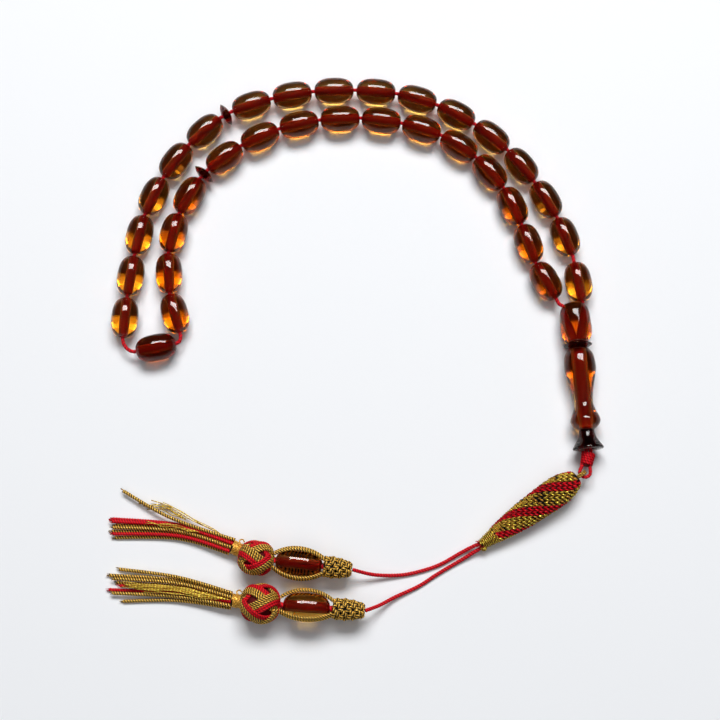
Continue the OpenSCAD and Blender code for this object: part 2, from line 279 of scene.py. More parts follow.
def amber(name, density, tint, shadow, bore_colour=(0.27, 0.001, 0.002)):
    """Polished see-through resin, with a rough bore stained by the red string."""
    m, tree, out = new_material(name)
    mark = tree.nodes.new("ShaderNodeAttribute")
    mark.attribute_name = "bore"
    coords = tree.nodes.new("ShaderNodeTexCoord")
    swirl = node(tree, "ShaderNodeTexNoise", Scale=260.0, Detail=2.0)
    tree.links.new(coords.outputs["Object"], swirl.inputs["Vector"])
    scuff = node(tree, "ShaderNodeTexNoise", Scale=1500.0, Detail=4.0)
    tree.links.new(coords.outputs["Object"], scuff.inputs["Vector"])
    body = ramp(tree, swirl.outputs["Fac"], [(0.35, (1.0, 0.93, 0.80)), (0.7, (1.0, 0.98, 0.93))])
    colour = mix_colour(tree, mark.outputs["Fac"], body, bore_colour)
    rough = maths(tree, "MULTIPLY_ADD", scuff.outputs["Fac"], 0.02, 0.02)
    rough = maths(tree, "MAXIMUM", rough, maths(tree, "MULTIPLY", mark.outputs["Fac"], 0.5))
    p = node(tree, "ShaderNodeBsdfPrincipled", IOR=1.54)
    tree.links.new(colour, p.inputs["Base Color"])
    tree.links.new(rough, p.inputs["Roughness"])
    see_through = maths(tree, "MULTIPLY_ADD", mark.outputs["Fac"], -0.85, 1.0)
    tree.links.new(see_through, p.inputs["Transmission Weight"])
    shine = maths(tree, "MULTIPLY_ADD", mark.outputs["Fac"], -0.45, 0.5)
    tree.links.new(shine, p.inputs["Specular IOR Level"])
    clear = node(tree, "ShaderNodeBsdfTransparent", Color=(*shadow, 1))
    path = tree.nodes.new("ShaderNodeLightPath")
    both = tree.nodes.new("ShaderNodeMixShader")
    tree.links.new(path.outputs["Is Shadow Ray"], both.inputs[0])
    tree.links.new(p.outputs[0], both.inputs[1])
    tree.links.new(clear.outputs[0], both.inputs[2])
    tree.links.new(both.outputs[0], out.inputs["Surface"])
    absorb = node(tree, "ShaderNodeVolumeAbsorption", Color=(*tint, 1), Density=density)
    tree.links.new(absorb.outputs[0], out.inputs["Volume"])
    return m


def thread(name, lobes, share=0.5, fibre=9.0, contrast=0.55, rough=0.45, bump=0.3):
    """A twisted cord: one (colour, metallic) for each of its strands, with fine fibres along each strand.

    Of each pair of strands the first takes up this share."""
    m, tree, out = new_material(name)
    uv = tree.nodes.new("ShaderNodeUVMap")
    uv.uv_map = "Lay"
    split = tree.nodes.new("ShaderNodeSeparateXYZ")
    tree.links.new(uv.outputs[0], split.inputs[0])
    u, v = split.outputs[0], split.outputs[1]
    count = len(lobes)
    around = maths(tree, "FRACT", maths(tree, "ADD", v, share / count))
    edges = [(j + (2 * share - 1 if j % 2 else 0)) / count for j in range(count)]
    colour = ramp(tree, around, [(at, c) for at, (c, k) in zip(edges, lobes)], constant=True)
    metal = ramp(tree, around, [(at, (k, k, k)) for at, (c, k) in zip(edges, lobes)], constant=True)
    fibres_a_strand = 2.0
    strand = maths(tree, "MULTIPLY_ADD", v, count * fibres_a_strand, maths(tree, "MULTIPLY", u, fibre / 6))
    lines = maths(tree, "SINE", maths(tree, "MULTIPLY", strand, 2 * math.pi))
    lines = maths(tree, "MULTIPLY_ADD", lines, 0.5, 0.5)
    # this noise lightens and darkens the thread in patches: tone, and its bright patches are painted glints
    glint_and_tone_noise = node(tree, "ShaderNodeTexNoise", Scale=2.6, Detail=3.0, Roughness=0.7)
    tree.links.new(uv.outputs[0], glint_and_tone_noise.inputs["Vector"])
    # darker at each strand's edges next to the grooves: painted shade
    groove_shade = maths(tree, "ABSOLUTE", maths(tree, "COSINE", maths(tree, "MULTIPLY", v, count * math.pi)))
    fibres_glints_and_shade = maths(tree, "MULTIPLY_ADD", lines, 0.35, maths(tree, "MULTIPLY", glint_and_tone_noise.outputs["Fac"], 0.9))
    fibres_glints_and_shade = maths(tree, "MULTIPLY", fibres_glints_and_shade, maths(tree, "MULTIPLY_ADD", groove_shade, 0.55, 0.45))
    dark = ramp(tree, fibres_glints_and_shade, [(0.08, (1 - contrast,) * 3), (0.5, (1.0, 1.0, 1.0)), (1.0, (1.5, 1.5, 1.5))])
    colour = mix_colour(tree, 1.0, colour, dark, "MULTIPLY")
    p = node(tree, "ShaderNodeBsdfPrincipled", Roughness=rough, Specular_IOR_Level=0.3)
    tree.links.new(colour, p.inputs["Base Color"])
    tree.links.new(metal, p.inputs["Metallic"])
    b = tree.nodes.new("ShaderNodeBump")
    b.inputs["Strength"].default_value = bump
    b.inputs["Distance"].default_value = 0.00012
    tree.links.new(lines, b.inputs["Height"])
    tree.links.new(b.outputs[0], p.inputs["Normal"])
    tree.links.new(p.outputs[0], out.inputs["Surface"])
    return m


# each thread's darker second colour (for red, gold, lemon and wine) lies on the grooves of the twist: painted
# shade in the grooves; the dull gold is also the own colour of the dull stitches
GOLD, GOLD_DULL_AND_GROOVE_SHADE, BROWN = (1.0, 0.60, 0.115), (0.66, 0.34, 0.055), (0.10, 0.035, 0.01)
LEMON, LEMON_GROOVE_SHADE = (1.0, 0.74, 0.11), (0.5, 0.27, 0.04)
BLACK, RED, RED_GROOVE_SHADE = (0.006, 0.004, 0.003), (0.76, 0.003, 0.016), (0.30, 0.001, 0.005)
WINE, WINE_GROOVE_SHADE = (0.12, 0.003, 0.006), (0.07, 0.004, 0.004)
CHERRY, CHERRY_SHADOW, CHERRY_BORE = (0.84, 0.10, 0.03), (0.004, 0.001, 0.001), (0.03, 0.001, 0.001)
AMBER_SHADOW = (0.05, 0.028, 0.006)
# one resin in three strengths of tint, palest to darkest; the deeper strength on the inner side's beads is
# painted shade
AMBERS = [(300.0, (0.985, 0.75, 0.010)), (420.0, (0.98, 0.73, 0.010)), (780.0, (0.95, 0.66, 0.01))]

amber_looks = [
    amber(f"amber_resin_{i}", density, tint, AMBER_SHADOW) for i, (density, tint) in enumerate(AMBERS)
]
dark_amber = amber("cherry_resin", 1500.0, CHERRY, CHERRY_SHADOW, bore_colour=CHERRY_BORE)
red_cord = thread("red_cord", [(RED, 0), (RED_GROOVE_SHADE, 0)] * 2, share=0.66, rough=0.55, contrast=0.75, bump=0.35)
gold_cord = thread("gold_black_cord", [(GOLD, 0.45), (BLACK, 0)] * 2, share=0.56, rough=0.36, contrast=0.8,
                   bump=0.4)
gold_wrap = thread("gold_thread", [(GOLD, 0.5), (GOLD_DULL_AND_GROOVE_SHADE, 0.4)], fibre=14, rough=0.3, contrast=0.8)
bright_gold = thread("bright_gold_thread", [(LEMON, 0.6), (LEMON_GROOVE_SHADE, 0.5)], rough=0.26, contrast=0.85)
dull_stitch = thread("brown_gold_stitch", [(GOLD_DULL_AND_GROOVE_SHADE, 0.4), (BLACK, 0.1)], fibre=10, rough=0.45,
                     contrast=0.85)
red_stitch = thread("red_stitch", [(RED, 0), (RED_GROOVE_SHADE, 0)], fibre=10, rough=0.55, contrast=0.85)
dark_core = thread("dark_core", [(BLACK, 0), (BROWN, 0)], rough=0.8, contrast=0.6)
red_core = thread("dark_red_core", [(WINE, 0), (WINE_GROOVE_SHADE, 0)], rough=0.7)

# how each cord is laid: its strands, the length of one turn and the depth of the groove between strands
LAY = dict(strands=2, pitch=1.5, depth=0.22)
STRING_LAY = dict(strands=2, pitch=1.9, depth=0.18)
RED_LAY = dict(strands=2, pitch=1.6, depth=0.18)
COIL_LAY = dict(strands=2, pitch=1.6, depth=0.2)
STITCH_LAY = dict(strands=2, pitch=1.6, depth=0.12)
CORE_LAY = dict(strands=2, pitch=2.2, depth=0.16)
BINDING_LAY = dict(strands=2, pitch=1.3, depth=0.14)
TAIL_LAY = dict(strands=2, pitch=1.2, depth=0.14)
FRAY_LAY = dict(strands=2, pitch=0.9, depth=0.2)

# ---------------------------------------------------------------- the string's route, as in the part's source
BEAD_LEN, BEAD_DIA, BORE, TRIM, BEAD_Z = 11.5, 7.7, 1.9, 0.12, 3.85
DISC_LEN, DISC_DIA, DISC_FACE, DISC_AFTER = 2.6, 6.8, 1.12, 11
OUTER_START, OUTER_GAP, OUTER_LOOSE, OUTER_COUNT = (65.4, 12), 1.05, 1.6, 18
INNER_START, INNER_GAP, INNER_LOOSE, INNER_COUNT = (57.8, 13), 0.8, 0, 16
OUTER_TURNS = [(0, 100), (2, 120), (3, 128), (7, 175), (8, 182), (10, 199), (14, 246), (15, 258), (17, 266)]
INNER_TURNS = [(0, 118), (1, 108), (2, 114), (4, 146), (5, 162), (7, 183), (8, 193), (11, 230), (12, 241),
               (14, 273), (15, 286)]
END_AT, END_HEADING, END_MARGIN = np.array([-57.6, -1.3, 0.0]), 12, 0.3
IMAME_TOP, IMAME_HEADING, IMAME_Z = np.array([62.6, 11.7, 0.0]), 274, 4.5
STRAND_OFFSET, BORES_MEET, STRING_END = 0.6, 11, 44
OUTER_INLET, INNER_INLET = (2.6, 0.4), (-3.0, 0.8)
LAST_SLIDE = 1.6
CORD_RADIUS = 0.55


def turn_at(turns, i):
    """The heading of the string after so many beads."""
    return float(np.interp(i, *zip(*turns)))


def leg(start, turns, gap, loose, count):
    """Where each bead of one side begins; the divider disc is shorter than a bead."""
    p = [np.array([*start, 0.0])]
    for i in range(count):
        size = gap + (DISC_LEN if i == DISC_AFTER else BEAD_LEN) + (loose if i == 0 else 0)
        p.append(p[-1] + size * heading(turn_at(turns, i)))
    return p


def on_imame(y, s):
    """A point so far to the side of the head piece's axis and so far along it."""
    p = IMAME_TOP + s * heading(IMAME_HEADING) + y * heading(IMAME_HEADING + 90)
    return np.array([p[0], p[1], IMAME_Z])


def bend(p, h, q, k, reach):
    """Three points on the bend that leaves p at heading h and reaches q at heading k."""
    a, b = p + reach * heading(h), q - reach * heading(k)
    return [(1 - t) ** 3 * p + 3 * t * (1 - t) ** 2 * a + 3 * t * t * (1 - t) * b + t ** 3 * q
            for t in (0.25, 0.5, 0.75)]


outer_leg = leg(OUTER_START, OUTER_TURNS, OUTER_GAP, OUTER_LOOSE, OUTER_COUNT)
inner_leg = leg(INNER_START, INNER_TURNS, INNER_GAP, INNER_LOOSE, INNER_COUNT)
end_left = END_AT - (BEAD_LEN / 2 + END_MARGIN) * heading(END_HEADING)
end_right = END_AT + (BEAD_LEN / 2 + END_MARGIN) * heading(END_HEADING)
loop = (
    outer_leg
    + bend(outer_leg[-1], turn_at(OUTER_TURNS, 17), end_left, END_HEADING, 1.8)
    + [end_left, end_right]
    + bend(end_right, END_HEADING, inner_leg[-1], turn_at(INNER_TURNS, 15) + 180, 1.2)
    + inner_leg[::-1]
)
# straight on through bead_33's slide before it turns into the head piece
loop.append(loop[-1] - LAST_SLIDE * heading(turn_at(INNER_TURNS, 0)))
inside = [STRING_END, BORES_MEET + 1, BORES_MEET]
string_points = (
    [on_imame(STRAND_OFFSET, s) for s in inside]
    + [on_imame(*OUTER_INLET)]
    + [np.array([p[0], p[1], BEAD_Z]) for p in loop]
    + [on_imame(*INNER_INLET)]
    + [on_imame(-STRAND_OFFSET, s) for s in inside[::-1]]
)
string_path = even(string_points, 0.24)
string = Piece()
string.add(tube(string_path, CORD_RADIUS, **STRING_LAY))
string_piece = string.make("string_cord", [red_cord], "strand", "red_thread", "string")


# ---------------------------------------------------------------- pendant cords
routes = {
    "a": [(34.9, -57.2, 2.5), (34.2, -57.4, 2.2), (30, -59.4, 1), (23.5, -63, 0.6), (17.5, -65, 0.6),
          (12, -66, 0.8), (5, -66, 2.5), (-1, -64.8, 5.3)],
    "b": [(35.0, -58.1, 2.3), (34.2, -58.9, 1.9), (29, -62, 0.8), (23, -65.5, 0.6), (17.5, -69, 0.6),
          (11, -72, 1.2), (6.5, -74.4, 3), (2.6, -76, 6)],
}
for key, route in routes.items():
    path = through(route, 0.18)
    cord = Piece()
    cord.add(tube(path, CORD_RADIUS, **RED_LAY))
    body = f"pendant_{key}"
    piece = cord.make(f"{body}_cord", [red_cord], body, "red_thread", f"pendant_cord_{key}", ride=False)
    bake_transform(piece)


# ---------------------------------------------------------------- counting beads
def bead_outline(length_mm, dia, bore, trim, steps=41):
    """The loop round a drilled oval bead's wall: outside, rounded rims and bore."""
    power, rim, lip = 2.5, 0.1, 0.08
    half = length_mm / 2
    a, r = half + trim, dia / 2
    s = np.linspace(-1, 1, steps)
    x = half * np.sin(s * np.pi / 2)
    outer = [(xi, r * max(1 - abs(xi / a) ** power, 0) ** (1 / power)) for xi in x]
    edge = outer[0][1]
    inset = half - lip
    loop = [(-inset, bore / 2)]
    loop += [(xi, bore / 2) for xi in np.linspace(-half + 0.3, half - 0.3, 9)]
    loop += [(inset, bore / 2), (half, bore / 2 + rim), (half, edge - rim)]
    loop += outer[::-1][1:-1]
    loop += [(-half, edge - rim), (-half, bore / 2 + rim)]
    return loop[::-1]


def off_line(mesh, near, axis):
    """How far each corner of a mesh is from a line, in millimetres."""
    z = unit(axis)
    co = np.array([v.co for v in mesh.vertices]) / MM - np.asarray(near, float)
    return np.linalg.norm(co - np.outer(co @ z, z), axis=1)


def mark_wall(mesh, on_wall):
    """1 on the wall of a bore and 0 on the polished outside."""
    mesh.attributes.new("bore", "FLOAT", "POINT").data.foreach_set("value", on_wall.astype(np.float32))


def mark_bore(mesh, near, axis, bore):
    mark_wall(mesh, off_line(mesh, near, axis) < bore / 2 + 0.04)


ORIGIN, ALONG = (0, 0, 0), (1, 0, 0)
bead_meshes = []
for look in amber_looks:
    shape = Piece()
    shape.add(lathe(bead_outline(BEAD_LEN, BEAD_DIA, BORE, TRIM), ORIGIN, ALONG, sides=72))
    ob = shape.make("bead_shape", [look], "strand", "amber", ride=False)
    mark_bore(ob.data, ORIGIN, ALONG, BORE)
    bead_meshes.append(ob.data)
    bpy.data.objects.remove(ob)


def centre(node_name):
    low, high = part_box(node_name)
    return (low + high) / 2


def placed(at, axis, spin=0.0):
    """Where a piece made along X goes: its middle, its axis on the table and its turn about the axis."""
    angle = math.atan2(axis[1], axis[0])
    return Matrix.Translation(at) @ Matrix.Rotation(angle, 4, "Z") @ Matrix.Rotation(spin, 4, "X")


# the outer side is palest, the inner side deeper, and the end bead darkest; the inner side's deeper tint is
# painted shade, where the outer row shades it from the softbox
END_BEAD = 18
for i in range(1, 34):
    name = f"bead_{i:02d}"
    look = 0 if i < END_BEAD else (2 if i == END_BEAD else 1)
    show(bead_meshes[look], f"amber_{name}", name, "amber", name,
         place=placed(centre(name), joints[name]["axis"], rng.uniform(0, 6.28)))

# divider discs
disc_radius = (DISC_DIA ** 2 + DISC_LEN ** 2) / (4 * DISC_LEN)
rows = [
    (x, math.sqrt(disc_radius ** 2 - (abs(x) + disc_radius - DISC_LEN / 2) ** 2))
    for x in np.linspace(-DISC_FACE, DISC_FACE, 19)
]
for i in (1, 2):
    name = f"marker_{i}"
    disc = Piece()
    disc.add(lathe([(-DISC_FACE, BORE / 2), *rows, (DISC_FACE, BORE / 2)], ORIGIN, ALONG, sides=64))
    ob = disc.make(f"divider_disc_{i}", [dark_amber], name, "dark_amber", name,
                   place=placed(centre(name), joints[name]["axis"]), sharp=50)
    mark_bore(ob.data, ORIGIN, ALONG, BORE)

# ---------------------------------------------------------------- head piece
imame_axis = heading(IMAME_HEADING)
imame_origin = on_imame(0, 0)
SHARED_BORE = 2.9


def head_part(name, points, material, slot, node_name):
    """A turned part of the head piece with the bore both string ends share."""
    rows = profile(points)
    part = Piece()
    wall = [(x, SHARED_BORE / 2) for x in np.linspace(rows[0][0] + 0.05, rows[-1][0] - 0.05, 7)]
    part.add(lathe(rows + wall[::-1], imame_origin, imame_axis, sides=72))
    ob = part.make(name, [material], node_name, slot, node_name, sharp=50)
    mark_bore(ob.data, imame_origin, imame_axis, SHARED_BORE)


DISC = [[11.5, 2.4], [12.1, 3.6], [12.5, 4.1], [12.9, 3.6], [13.5, 2.4]]
BODY = [[13.7, 2.4], [14, 3.1], [14.9, 3.8], [16.1, 4.25], [19, 4.5], [21.3, 4.15], [23.7, 3.55], [26, 3],
        [28.4, 2.68], [30.1, 2.75], [31.9, 3.3], [33.6, 4.05], [34.8, 4.2], [36, 3.6], [37, 2.4]]
CAP = [[37.2, 2.2], [38.2, 2.3], [39.6, 2.7], [41, 3.6], [42, 4.25], [42.5, 4.35], [42.7, 4.1]]
COLLECTOR = [[0, 1.4], [0.3, 2.7], [1.1, 3.5], [2.8, 4.15], [5.5, 4.4], [8.5, 4.45], [10.4, 4], [11.3, 3.2]]
head_part("imame_thin_disc", DISC, dark_amber, "dark_amber", "imame_disc")
head_part("imame_amber_body", BODY, amber_looks[1], "amber", "imame_body")
head_part("imame_dark_cap", CAP, dark_amber, "dark_amber", "imame_cap")

# the collector, with its two slanting bores cut into a turned solid
collector = Piece()
collector.add(lathe([(0.0, 0.02), *profile(COLLECTOR), (11.3, 0.02)], imame_origin, imame_axis, sides=72))
collector_piece = collector.make("imame_collector", [amber_looks[1]], "strand", "amber", ride=False)
slants = []
for inlet, side in ((OUTER_INLET, STRAND_OFFSET), (INNER_INLET, -STRAND_OFFSET)):
    a, b = on_imame(*inlet), on_imame(side, BORES_MEET)
    way = unit(b - a)
    slants.append((a, way))
    drill = Piece()
    drill.add(tube(even([a - 4 * way, b + 3 * way], 1.0), BORE / 2, sides=32))
    tool = drill.make("drill", [amber_looks[1]], "strand", "amber", ride=False)
    cut = collector_piece.modifiers.new("bore", "BOOLEAN")
    cut.operation = "DIFFERENCE"
    cut.solver = "EXACT"
    cut.object = tool
    bpy.context.view_layer.objects.active = collector_piece
    bpy.context.view_layer.update()
    with bpy.context.temp_override(object=collector_piece, active_object=collector_piece):
        bpy.ops.object.modifier_apply(modifier="bore")
    bpy.data.objects.remove(tool)
off = np.minimum(*[off_line(collector_piece.data, near, way) for near, way in slants])
mark_wall(collector_piece.data, off < BORE / 2 + 0.03)
collector_piece.data.set_sharp_from_angle(angle=math.radians(40))
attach(collector_piece, "strand")
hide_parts("collector")

# ---------------------------------------------------------------- stopper knot and its loop
LOOP_CENTRE, LOOP_RADIUS = np.array([64.4, -37.4, 4.8]), 1.5
COIL_TURNS, COIL_RADIUS, COIL_NARROWS, COIL_END = 5.0, 1.66, 0.3, 0.3
knot_start = on_imame(0, 43.6)
knot_way = unit((LOOP_CENTRE - knot_start) * [1, 1, 0])
knot_len = np.linalg.norm((LOOP_CENTRE - knot_start)[:2]) - LOOP_RADIUS - 0.2
knot_side = np.cross(knot_way, UP)
stopper = Piece()
coil = []
for x in np.linspace(0, 1, 240):
    a = 2 * np.pi * COIL_TURNS * x
    along = COIL_END + (knot_len - 2 * COIL_END) * x
    out = math.cos(a) * knot_side + math.sin(a) * UP
    coil.append(knot_start + knot_way * along + (COIL_RADIUS - COIL_NARROWS * x) * out)
stopper.add(tube(even(coil, 0.18), 0.44, **COIL_LAY))
stopper.add(tube(even([knot_start, knot_start + knot_way * knot_len], 0.4), 1.25, sides=16), 1)
legs = [(3.4, 0.55), (1.6, 1.1)]
bow = [LOOP_CENTRE - knot_way * back + knot_side * out for back, out in legs]
bow += [LOOP_CENTRE + LOOP_RADIUS * (math.cos(a) * knot_side + math.sin(a) * knot_way)
        for a in np.radians([0, 30, 60, 90, 120, 150, 180])]
bow += [LOOP_CENTRE - knot_way * back - knot_side * out for back, out in legs[::-1]]
stopper.add(tube(through(bow, 0.18), 0.52, **RED_LAY))
stopper.make("stopper_whipping", [red_cord, red_core], "strand", "red_thread", "stopper_knot")

# ---------------------------------------------------------------- sleeve
SLEEVE_HEADING, SLEEVE_FLAT, SLEEVE_LEN, SLEEVE_FROM_LOOP = 214.5, 0.85, 29.5, 2.45
tilt = math.radians(3.8)
sleeve_level = heading(SLEEVE_HEADING)
sleeve_top = LOOP_CENTRE + SLEEVE_FROM_LOOP * sleeve_level
sleeve_way = sleeve_level * math.cos(tilt) - math.sin(tilt) * UP
sleeve_up = UP * math.cos(tilt) + sleeve_level * math.sin(tilt)
sleeve_across = np.array([-math.sin(math.radians(SLEEVE_HEADING)), math.cos(math.radians(SLEEVE_HEADING)), 0])
SLEEVE = [[0, 1.7], [1.5, 2.9], [5, 4.1], [9, 4.35], [14, 4.15], [19, 3.85], [25, 3.1], [SLEEVE_LEN, 2.3]]
sleeve_rows = profile(SLEEVE)


def sleeve_radius(u):
    return float(np.interp(u, *zip(*sleeve_rows)))


def on_sleeve(u, phi, lift):
    """A point this far down the sleeve, at this angle round it and this much outside it."""
    a = math.radians(phi)
    out = math.cos(a) * sleeve_up * SLEEVE_FLAT + math.sin(a) * sleeve_across
    return sleeve_top + u * sleeve_way + (sleeve_radius(u) + lift) * out


sleeve = Piece()
CORE_FROM, CORE_TO, UNDER_STITCHES = 0.25, 29.3, 0.62
inner = [(min(max(x, CORE_FROM), CORE_TO), max(r - UNDER_STITCHES, 0.5)) for x, r in sleeve_rows]
sleeve.add(lathe([(CORE_FROM, 0.03), *inner, (CORE_TO, 0.03)], sleeve_top, sleeve_way, sides=48,
                 flat=SLEEVE_FLAT, up=sleeve_up), 3)

# rows of stitches wind down the sleeve, two red ones in each five; each stitch is a V of two threads
RIBS, TWIST, STITCH, FIRST_RIB = 15, -9.8, 1.34, 62
V_LENGTH, V_OPENS, V_CLOSES, V_SUNK, V_RISE = 1.45, 0.86, 0.7, -0.82, 0.58
LAST_STITCH, LAST_POINT = 28.6, 29.4
V_TAPER = [(0, 0.55), (0.3, 1), (0.75, 1), (1, 0.5)]
for rib in range(RIBS):
    red = rib % 5 < 2
    base = FIRST_RIB - 360 / RIBS * rib
    width = 180 / RIBS
    for k in range(int(29.0 / STITCH)):
        u = 0.35 + k * STITCH + rng.uniform(-0.08, 0.08) + (0.5 * STITCH if rib % 2 else 0)
        if u > LAST_STITCH:
            continue
        material = 2 if red else (0 if rng.random() < 0.72 else 1)
        for side in (-1, 1):
            wobble = rng.uniform(-0.12, 0.12) * width
            points = []
            for f in (0, 0.2, 0.45, 0.7, 0.9, 1):
                along = u + f * V_LENGTH
                phi = base + TWIST * along + wobble + side * width * (V_OPENS - V_CLOSES * f)
                lift = V_SUNK + V_RISE * math.sin(math.pi * min(f * 0.9 + 0.1, 1))
                points.append(on_sleeve(min(along, LAST_POINT), phi, lift))
            size = 0.25 + 0.06 * min(sleeve_radius(u), 4.0) / 4 + rng.uniform(-0.03, 0.04)
            start = rng.uniform(0, 40)
            sleeve.add(tube(points, size, **STITCH_LAY, sides=8, start=start, taper=V_TAPER), material)
sleeve.make("sleeve_plait", [bright_gold, dull_stitch, red_stitch, dark_core], "sleeve", "gold_thread",
            "sleeve_weave")


def wrap(piece, origin, way, up, across, length_mm, r0, r1, turns, thread_r, wobble):
    """A thread wound round an axis, side by side, from the radius r0 to the radius r1."""
    n = int(turns * 26)
    points = []
    for i in range(n + 1):
        f = i / n
        a = 2 * np.pi * turns * f
        r = r0 + (r1 - r0) * f + wobble * math.sin(a * 0.37 + 1)
        along = thread_r + (length_mm - 2 * thread_r) * f
        points.append(origin + way * along + r * (math.cos(a) * up + math.sin(a) * across))
    piece.add(tube(even(points, 0.22), thread_r, **BINDING_LAY, sides=9))


bound = Piece()
whip_top = sleeve_top + SLEEVE_LEN * sleeve_way
wrap(bound, whip_top - 1.2 * sleeve_way, sleeve_way, sleeve_up, sleeve_across, 5.2, 2.2, 1.25, 9, 0.23, 0.05)
bound.add(lathe([(-1.1, 0.03), (-1.1, 2.05), (4.0, 1.1), (4.0, 0.03)], whip_top, sleeve_way, sides=32,
                up=sleeve_up), 1)

# the small end knot: three rings of thread, each turned 60 degrees further about X
ball = whip_top + 3.8 * sleeve_way + 1.2 * sleeve_across
for turn in range(3):
    c, s = math.cos(turn * 1.05), math.sin(turn * 1.05)
    points = []
    for a in np.linspace(0, 2 * np.pi, 25):
        q = np.array([math.cos(a), math.sin(a), 0]) * 0.62
        points.append(ball + np.array([q[0], q[1] * c, q[1] * s]))
    bound.add(tube(points, 0.3, **TAIL_LAY, sides=9))

# red hairs at the end of the binding
for hair in range(9):
    root = whip_top + 3.4 * sleeve_way + rng.uniform(-0.9, 0.9) * sleeve_across
    root = root + rng.uniform(0.1, 0.9) * sleeve_up
    reach = rng.uniform(0.7, 1.9) * sleeve_way + rng.uniform(-1.3, 0.4) * sleeve_across
    curl = root + 0.6 * reach + rng.uniform(0.2, 0.9) * sleeve_up
    bound.add(tube(through([root, curl, root + reach], 0.15), 0.09, sides=6), 2)
bound.make("sleeve_gold_binding", [bright_gold, dark_core, red_stitch], "sleeve", "gold_thread",
           "sleeve_whipping")

# the doubled ring through the stopper's loop
ring = Piece()
RING_RADIUS, RING_APART, RING_REACH = 1.25, 0.28, 1.3
for side in (-RING_APART, RING_APART):
    points = []
    for a in np.radians(np.linspace(90, 270, 14)):
        along, up = RING_RADIUS + RING_RADIUS * math.cos(a), RING_RADIUS * math.sin(a)
        points.append(LOOP_CENTRE + sleeve_level * along + up * UP + sleeve_across * side)
    points = [points[0] + sleeve_level * RING_REACH, *points, points[-1] + sleeve_level * RING_REACH]
    ring.add(tube(through(points, 0.2), 0.3, **BINDING_LAY, sides=10))
ring.make("sleeve_ring", [gold_cord], "sleeve", "gold_thread", "sleeve_bail")

# ---------------------------------------------------------------- pendants
# where the cap's tip is, the heading and height of the axis, the lengths of cap, cage and knot, the knot's
# diameter, how far the cage is turned, the fringe's heading, where the knot's line starts (radians), which of
# the knot's cords are red (1), and the red and gold strands of the fringe
pendants = {
    "a": dict(tip=(-1.2, -64.8), way=173, z=5.35, cap=8, cage=13.8, knot=10.2, knot_dia=10.6, turn=-6,
              neck=154, start=0.5, colours=[1, 1, 0, 0, 0], fringe="GRRGGGRG"),
    "b": dict(tip=(2.4, -76.1), way=176, z=6.05, cap=9, cage=14.4, knot=11.2, knot_dia=12, turn=12,
              neck=173, start=1.4, colours=[0, 0, 0, 1, 1], fringe="GGGGRRGG"),
}
# bend and end of each fringe strand, as in the part's source
strands = {
    "a": [[(-52, -50.2, 2.6), (-66, -42.4, 1.6)], [(-50, -51.9, 1), (-69, -50.2, 0.6)],
          [(-50, -52.5, 2), (-69, -51, 1.6)], [(-50, -53.2, 1), (-68, -51.9, 0.6)],
          [(-50, -53.8, 2), (-68.5, -52.7, 1.6)], [(-50, -54.5, 1), (-69, -53.6, 0.6)],
          [(-50, -55.1, 2), (-68.5, -54.5, 1.6)], [(-50, -55.8, 1), (-68, -55.4, 0.6)]],
    "b": [[(-50, -66.6, 2), (-66.5, -64.3, 0.8)], [(-50, -67.4, 1), (-69.2, -66, 0.6)],
          [(-50, -68.3, 2), (-68, -67, 1.6)], [(-50, -69.2, 1), (-67, -68, 0.6)],
          [(-50, -70.1, 2), (-66, -69, 1.6)], [(-50, -71, 1), (-69.2, -70, 0.6)],
          [(-50, -72, 2), (-68, -71, 1.6)], [(-50, -73, 1), (-65.2, -73.2, 0.6)]],
}
# where the strands start across the neck: sideways and upwards, in strand diameters
PACKING = [(1.8, 0.5), (1.25, -0.45), (0.75, 0.5), (0.2, -0.45), (-0.3, 0.5), (-0.85, -0.45), (-1.35, 0.5),
           (-1.9, -0.45)]
STRAND_DIA = 1.1
CAP_CORDS, CAP_TWIST, CAP_CORD_RADIUS, CAP_WEAVE = 6, 27, 0.5, 0.22
HANGING_LEN, HANGING_DIA, HANGING_BORE, INNER_CORD_RADIUS = 12.8, 7.8, 2.1, 0.85
CAGE_BULGE, CAGE_END, CAGE_CORD_RADIUS, CAGE_APART = 4.75, 2.3, 0.45, 0.47
BIGHTS, LEADS, LINES, LINE_APART, LINE_RADIUS = 4, 3, 5, 0.74, 0.42
KNOT_REACH, KNOT_STRETCH, KNOT_LIFT = 1.16, 1.05, 0.36
NECK_LEN, NECK_RADII, NECK_TURNS = 3.0, (1.72, 1.74), 6
